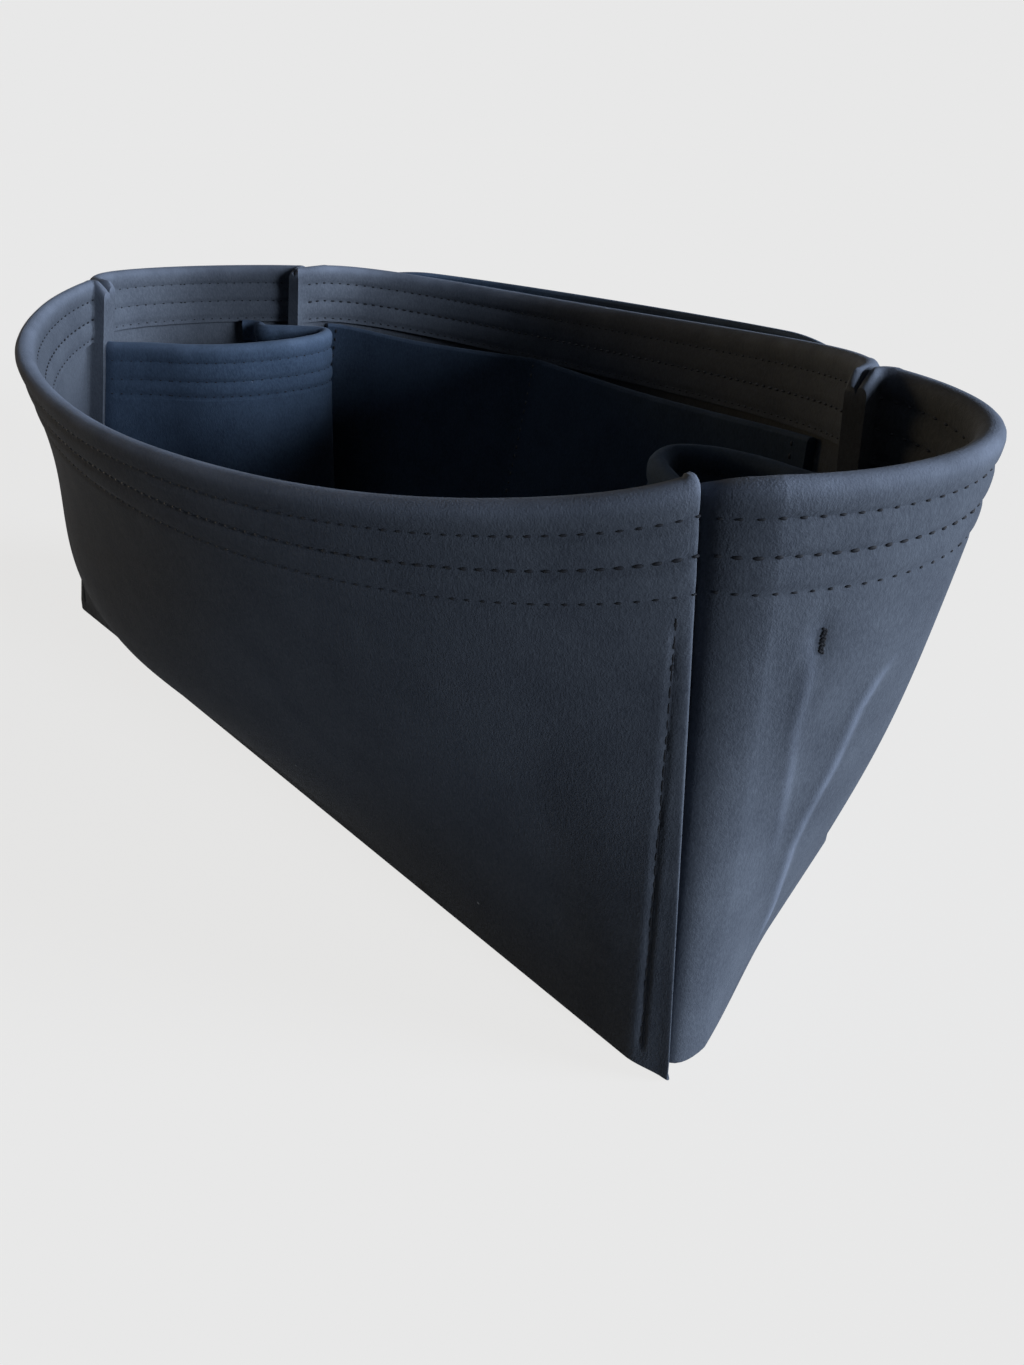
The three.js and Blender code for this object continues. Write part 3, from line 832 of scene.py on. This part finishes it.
# End pockets: each is one strip of felt from a corner seam, round a loop, to a tail sewn on the end panel.
# The strip's top is hemmed as the walls are. It stands open because the felt is stiff.
POCKET_HEM = 19.4
POCKET_ROWS = (6.4, 12.8, 18.2)
POCKET_BOLD = (0.5, 0.55, 0.6)
POCKET_LEAD = 3
POCKET_BELOW_HEM, POCKET_FOOT_GAP = 1.2, 0.1
POCKET_FOOT_CLEAR = 14
TAIL_BEND = 8
HEM_LEAD = 10
WALL_HEM_DEPTH = 19
POCKET_COLUMNS = 150
UNSEWN_COLUMNS = 3
POCKET_BODY_LEVELS = 30
POCKET_HEM_FADE = 0.1
START_SHARE = 0.19
STILL_MARGIN, NOSE_MARGIN = 1, 4
LEFT_POCKET = {
    "rim": 108, "seam": 0, "wall": LEFT, "side": (-1, 1), "passes_seam": True,
    "tail": 9, "tail_length": 10,
    "loop": ((39, 62), (52, 53), (62, 41), (68, 23), (67, 8), (59, 0)),
}
RIGHT_POCKET = {
    "rim": 110, "seam": 2, "wall": RIGHT, "side": (1, -1), "passes_seam": False,
    "tail": 24, "tail_length": 14,
    "loop": ((46, 78), (58, 76), (65, 70), (63, 61), (54, 53), (32, 41)),
}


def smooth_path(points, columns):
    """Evenly spaced places on a curve through the points, which eases off in tight bends."""
    points = np.array(points)
    ends = np.concatenate(([2 * points[0] - points[1]], points, [2 * points[-1] - points[-2]]))
    found = []
    t = np.linspace(0, 1, 24, endpoint=False)[:, None]
    for p0, p1, p2, p3 in zip(ends, ends[1:], ends[2:], ends[3:]):
        d0, d1, d2 = (math.sqrt(np.linalg.norm(b - a)) for a, b in ((p0, p1), (p1, p2), (p2, p3)))
        m1 = ((p1 - p0) / d0 - (p2 - p0) / (d0 + d1) + (p2 - p1) / d1) * d1
        m2 = ((p2 - p1) / d1 - (p3 - p1) / (d1 + d2) + (p3 - p2) / d2) * d1
        square = 3 * (p2 - p1) - 2 * m1 - m2
        cube = 2 * (p1 - p2) + m1 + m2
        found.append(p1 + m1 * t + square * t ** 2 + cube * t ** 3)
    line = np.concatenate((*found, points[-1:]))
    run = run_along(line)
    spaced = np.linspace(0, run[-1], columns)
    return np.stack([np.interp(spaced, run, line[:, k]) for k in (0, 1)], axis=1)


def share_at(corner, z):
    return (z - WALL_FOOT) / (WALL_HEIGHT + CORNER_RISE[corner % 4] - WALL_FOOT)


def pocket_path(pocket, z):
    up = (z - WALL_FOOT) / (pocket["rim"] - WALL_FOOT)
    place, inward = seam_at(pocket["seam"], share_at(pocket["seam"], z))
    points = [place + inward * (SEAM_ALLOWANCE + further) for further in (SEAM_GAP, POCKET_LEAD)]
    side_x, side_y = pocket["side"]
    for from_end, from_side in pocket["loop"]:
        clear = max(from_side, POCKET_FOOT_CLEAR)
        y = BASE_WIDTH / 2 - (clear + (from_side - clear) * up)
        points.append(np.array((side_x * (BASE_LENGTH / 2 - from_end), side_y * y)))
    wall = pocket["wall"]
    v = share_at(wall["corner"], z)
    if pocket["passes_seam"]:
        beside, pointing = seam_at(wall["corner"], v)
        points.append(beside + pointing * (SEAM_ALLOWANCE + POCKET_LEAD + FELT / 2))
    beside_hem = (1 - v) * WALL_HEIGHT < WALL_HEM_DEPTH + HEM_LEAD
    clear = FELT + (HEM_TURN if beside_hem else 0) + SEAM_GAP + FELT / 2
    tail = ((0, TAIL_BEND), (TAIL_BEND / 2, TAIL_BEND / 4), (TAIL_BEND, SEAM_GAP),
            (pocket["tail_length"], SEAM_GAP))
    for further, off in tail:
        u = (pocket["tail"] + further) / BASE_WIDTH
        out = right_of(wall_heading(wall, u, v))
        points.append(wall_plan(wall, u, v) - out * (clear + off))
    return smooth_path(points, POCKET_COLUMNS)


def pocket_grid(pocket):
    """Rows of a pocket's strip from its foot to its rim, and their drops below the rim."""
    levels = hem_levels(POCKET_HEM)
    foot = pocket["rim"] - WALL_FOOT - POCKET_FOOT_GAP
    body = np.linspace(POCKET_HEM + POCKET_BELOW_HEM, foot, POCKET_BODY_LEVELS)
    levels += [(drop, 0.0, 0.0) for drop in body]
    along = np.linspace(0, 1, POCKET_COLUMNS)
    fade = np.clip(np.minimum(along, 1 - along) / POCKET_HEM_FADE, 0, 1)
    rows = []
    for drop, pinch, hem in levels:
        z = pocket["rim"] - drop
        path = pocket_path(pocket, z)
        right = right_of(unit(np.gradient(path, axis=0)))
        dents = (hem_dents(drop, POCKET_ROWS) if drop < POCKET_HEM else 0) * fade
        thickness = FELT + HEM_TURN * hem * fade
        inset = thickness / 2 * pinch
        outer = path + right * (FELT / 2 - inset + dents)[:, None]
        inner = path - right * (thickness - FELT / 2 - inset + dents)[:, None]
        plan = np.stack((outer, inner), axis=1)
        rows.append(np.concatenate((plan, np.full((POCKET_COLUMNS, 2, 1), z)), axis=2))
    return np.array(rows[::-1]), np.array([level[0] for level in levels][::-1])


# The third colour is that of the painted highlight on rims and top edges; the fourth is lint.
pocket_felt = pressed_felt("navy_pocket_felt", "#2b3848", "#435266", "#71829a", "#8b93a2")


def end_pocket(name, pocket, node, body, wall_body, seed):
    """The strip in two pieces, cut a little way from its start."""
    rows, drops = pocket_grid(pocket)
    split = int(POCKET_COLUMNS * START_SHARE)
    side = pocket["side"][0]
    first = rows[:, 0, 0, 0] * side
    cut = rows[:, split, 0, 0] * side
    lean = float((first[-1] - first[0]) / (rows[-1, 0, 0, 2] - rows[0, 0, 0, 2]))
    still = float((cut - lean * rows[:, split, 0, 2]).max()) + STILL_MARGIN
    moving = float((first - lean * rows[:, 0, 0, 2]).min())
    start = Vector((side * still * MM, 0, 0))
    reach = (moving - still) / (1 + lean ** 2) * MM
    near_cut = float(cut.min())
    nose = float((rows[:, :, 0, 0] * side).min()) + NOSE_MARGIN
    bends = (
        (wall_body, start, start + reach * Vector((side, 0, -lean))),
        (body, Vector((side * near_cut * MM, 0, 0)), Vector((side * nose * MM, 0, 0))),
    )
    # Painted highlight along the pocket's rim.
    marked = np.repeat(rim_highlight(drops)[:, None], POCKET_COLUMNS, axis=1)
    felt = halved(name, rows, marked, split, pocket_felt)
    parts = (slice(UNSEWN_COLUMNS, split), slice(split, POCKET_COLUMNS - UNSEWN_COLUMNS))
    shares = (START_SHARE, 1 - START_SHARE)
    for part, piece, share, columns, bend in zip("ab", felt, shares, parts, bends):
        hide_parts(node)
        hem = hem_paths(rows, drops, POCKET_ROWS, columns)
        sewn = sew(f"{name}_hem_stitches_{part}", hem, seed, POCKET_BOLD)
        for follower in (piece, sewn):
            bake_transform(follower)


end_pocket("left_pocket", LEFT_POCKET, "left_end_pocket", "left_pocket", "front_wall", 11)
end_pocket("right_pocket", RIGHT_POCKET, "right_end_pocket", "right_pocket", "back_wall", 12)

# Slip pocket: a low sheet of felt sewn along its sides and foot inside the back wall, and once across
# between them, so that it has two mouths. Outer pocket: a sheet sewn behind the wall, as high as it.
SLIP_DROP = 22
SLIP_FOOT = 5
SLIP_PLACES = (0.1, 0.55, 0.965)
SLIP_GAPE = (8, 10)
OUTER_FOOT = 5
OUTER_PLACES = (0.07, 0.93)
OUTER_GAPE = 9
OUTER_END_DROP, OUTER_END_SHARE = 3.5, 0.18
SHEET_EDGE_HIGHLIGHT = 0.4
SHEET_COLUMNS = 130
SHEET_LEVELS = 40
EDGE_ROLL = (70, 45, 20, 0)


def mouth(u, start, end, gape):
    share = np.clip((u - start) / (end - start), 0, 1)
    return gape * np.sin(math.pi * share)


def sheet_on_back(start, end, foot, top, depths, end_drop=0.0):
    """Rows of a sheet along the back wall. depths(u, up) gives how deep its faces are in the wall."""
    share = np.linspace(0, 1, SHEET_COLUMNS)
    u = start + (end - start) * share
    levels = [(k / SHEET_LEVELS, 0.0) for k in range(SHEET_LEVELS)]
    height = (top - foot) * WALL_HEIGHT
    for angle in reversed(EDGE_ROLL):
        drop = FELT / 2 * (1 - math.sin(math.radians(angle)))
        levels.append((1 - drop / height, 1 - math.cos(math.radians(angle))))
    low_ends = end_drop * (1 - eased(np.minimum(share, 1 - share) / OUTER_END_SHARE))
    rows = []
    for up, pinch in levels:
        v = foot + (top - foot) * up
        out = right_of(wall_heading(BACK, u, v))
        near, far = depths(u, up)
        inset = FELT / 2 * pinch
        plan = [wall_plan(BACK, u, v) - out * depth[:, None] for depth in (near + inset, far - inset)]
        z = wall_level(BACK, u, v) - low_ends * up
        rows.append(np.stack([np.concatenate((p, z[:, None]), axis=1) for p in plan], axis=1))
    return np.array(rows)


def slip_depths(u, up):
    right, divider, left = SLIP_PLACES
    opening = mouth(u, right, divider, SLIP_GAPE[0]) + mouth(u, divider, left, SLIP_GAPE[1])
    depth = FELT + SEAM_GAP + opening * up
    return depth, depth + FELT


def outer_depths(u, up):
    depth = SEAM_GAP + mouth(u, *OUTER_PLACES, OUTER_GAPE) * up
    return -depth - FELT, -depth


slip_rows = sheet_on_back(
    SLIP_PLACES[0], SLIP_PLACES[2], SLIP_FOOT / WALL_HEIGHT, 1 - SLIP_DROP / WALL_HEIGHT, slip_depths)
# Painted highlight along the rolled top edges of the slip and outer pockets.
edge_highlight = np.where(np.arange(len(slip_rows)) > SHEET_LEVELS, SHEET_EDGE_HIGHLIGHT, 0)
sheet_highlight = np.repeat(edge_highlight[:, None], SHEET_COLUMNS, axis=1)
slip_mesh, _ = sheet_mesh("slip_pocket_felt", slip_rows, sheet_highlight)
slip_piece = shown("slip_pocket_felt", slip_mesh, pocket_felt)
outer_rows = sheet_on_back(*OUTER_PLACES, OUTER_FOOT / WALL_HEIGHT, 1.0, outer_depths, OUTER_END_DROP)
outer_mesh, _ = sheet_mesh("outer_pocket_felt", outer_rows, sheet_highlight)
outer_piece = shown("outer_pocket_felt", outer_mesh, pocket_felt)
for piece, node, flat in (
    (slip_piece, "back_slip_pocket", (0.255, 0.103)),
    (outer_piece, "back_outer_pocket", (0.25, 0.125)),
):
    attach(piece, "back_wall")
    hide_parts(node)

SIDE_ROW = 3
FOOT_ROW = 2
slip_divider = int(SHEET_COLUMNS * (SLIP_PLACES[1] - SLIP_PLACES[0]) / (SLIP_PLACES[2] - SLIP_PLACES[0]))
far_side = SHEET_COLUMNS - 1 - SIDE_ROW
slip_lines = [slip_rows[:SHEET_LEVELS, column, 1] for column in (SIDE_ROW, slip_divider, far_side)]
slip_lines.append(slip_rows[FOOT_ROW, SIDE_ROW:-SIDE_ROW, 1])
outer_lines = [outer_rows[:SHEET_LEVELS, column, 0] for column in (SIDE_ROW, far_side)]
outer_lines.append(outer_rows[FOOT_ROW, SIDE_ROW:-SIDE_ROW, 0])
back_pocket_stitches = sew("back_pocket_stitches", slip_lines + outer_lines, 13)
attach(back_pocket_stitches, "back_wall")

# Studio: a plain pale floor, two soft low lights from the right, a faint warm one from the left and an
# even fill. The camera stands where the photograph was taken from.
FLOOR_REACH = 6.0
PALE = "#e8e8e8"
IMAGE_WIDTH, IMAGE_HEIGHT = 1024, 1365
FOCAL_PIXELS = 896
SENSOR = 36
CAMERA_PLACE = Vector((214.5, -155.4, 176.1)) * MM
CAMERA_YAW, CAMERA_PITCH, CAMERA_ROLL = (math.radians(a) for a in (45.5, 32.2, -0.1))

scene = bpy.context.scene
scene.view_settings.view_transform = "Standard"
level_right = Vector((math.cos(CAMERA_YAW), math.sin(CAMERA_YAW), 0))
ahead = Vector((
    -math.sin(CAMERA_YAW) * math.cos(CAMERA_PITCH),
    math.cos(CAMERA_YAW) * math.cos(CAMERA_PITCH),
    -math.sin(CAMERA_PITCH),
))
level_down = ahead.cross(level_right)
image_right = math.cos(CAMERA_ROLL) * level_right + math.sin(CAMERA_ROLL) * level_down
image_down = math.cos(CAMERA_ROLL) * level_down - math.sin(CAMERA_ROLL) * level_right
lens = bpy.data.cameras.new("camera")
lens.sensor_width = SENSOR
lens.lens = SENSOR * FOCAL_PIXELS / max(IMAGE_WIDTH, IMAGE_HEIGHT)
lens.clip_start = 0.01
camera = bpy.data.objects.new("camera", lens)
axes = Matrix((image_right, -image_down, -ahead)).transposed()
camera.matrix_world = Matrix.Translation(CAMERA_PLACE) @ axes.to_4x4()
scene.collection.objects.link(camera)
scene.camera = camera


def far_light(name, level, turn, rise, spread, colour):
    """A distant light, and what it gives the floor. At level 1 a colour that faces it shows as written."""
    light = bpy.data.lights.new(name, "SUN")
    light.energy = level * math.pi
    light.angle = math.radians(spread)
    light.color = linear(colour)[:3]
    lamp = bpy.data.objects.new(name, light)
    turn, rise = math.radians(turn), math.radians(rise)
    towards = Vector((math.cos(turn) * math.cos(rise), math.sin(turn) * math.cos(rise), math.sin(rise)))
    lamp.rotation_mode = "QUATERNION"
    lamp.rotation_quaternion = towards.to_track_quat("Z", "Y")
    scene.collection.objects.link(lamp)
    return level * math.sin(rise) * np.array(linear(colour)[:3])


FILL_LEVEL = 0.03
FILL_COLOUR = linear("#eef4ff")
on_floor = FILL_LEVEL * np.array(FILL_COLOUR[:3])
on_floor += far_light("window", 1.05, 38, 14, 20, "#e4efff")
on_floor += far_light("reflector", 0.85, 3, 10.5, 14, "#e4efff")
on_floor += far_light("room", 0.2, 194, 4, 16, "#ffdda4")


def seen_directly(tree):
    """1 for rays from the camera, and for those that gloss or glass sends on."""
    ray = add_node(tree, "ShaderNodeLightPath").outputs
    direct = add_node(tree, "ShaderNodeMath", {
        0: ray["Is Camera Ray"], 1: ray["Is Glossy Ray"]}, operation="MAXIMUM")
    through = add_node(tree, "ShaderNodeMath", {
        0: direct.outputs[0], 1: ray["Is Transmission Ray"]}, operation="MAXIMUM")
    return through.outputs[0]


world = bpy.data.worlds.new("studio")
world.use_nodes = True
scene.world = world
air = world.node_tree
air.nodes.clear()
fill = add_node(air, "ShaderNodeBackground", {"Color": FILL_COLOUR, "Strength": FILL_LEVEL})
backdrop = add_node(air, "ShaderNodeBackground", {"Color": linear(PALE), "Strength": 1.0})
both = add_node(air, "ShaderNodeMixShader", {
    0: seen_directly(air), 1: fill.outputs[0], 2: backdrop.outputs[0]})
add_node(air, "ShaderNodeOutputWorld", {"Surface": both.outputs[0]})

# The floor is matt grey card. To the camera it also glows, so that it is as pale as the backdrop
# where nothing shades it, and the object's shadow stays.
CARD = 0.12
paper = bpy.data.materials.new("pale_floor_card")
paper.use_nodes = True
card = paper.node_tree
card.nodes.clear()
matt = add_node(card, "ShaderNodeBsdfDiffuse", {"Color": (CARD, CARD, CARD, 1)})
wanting = (np.array(linear(PALE)[:3]) - CARD * on_floor).tolist()
glow = add_node(card, "ShaderNodeEmission", {"Color": (*wanting, 1), "Strength": 1.0})
sum_of = add_node(card, "ShaderNodeAddShader", {0: matt.outputs[0], 1: glow.outputs[0]})
shared = add_node(card, "ShaderNodeMixShader", {
    0: seen_directly(card), 1: matt.outputs[0], 2: sum_of.outputs[0]})
add_node(card, "ShaderNodeOutputMaterial", {"Surface": shared.outputs[0]})
floor_mesh = bpy.data.meshes.new("floor")
r = FLOOR_REACH
floor_mesh.from_pydata([(-r, -r, 0), (r, -r, 0), (r, r, 0), (-r, r, 0)], [], [(0, 1, 2, 3)])
floor = shown("floor", floor_mesh, paper)
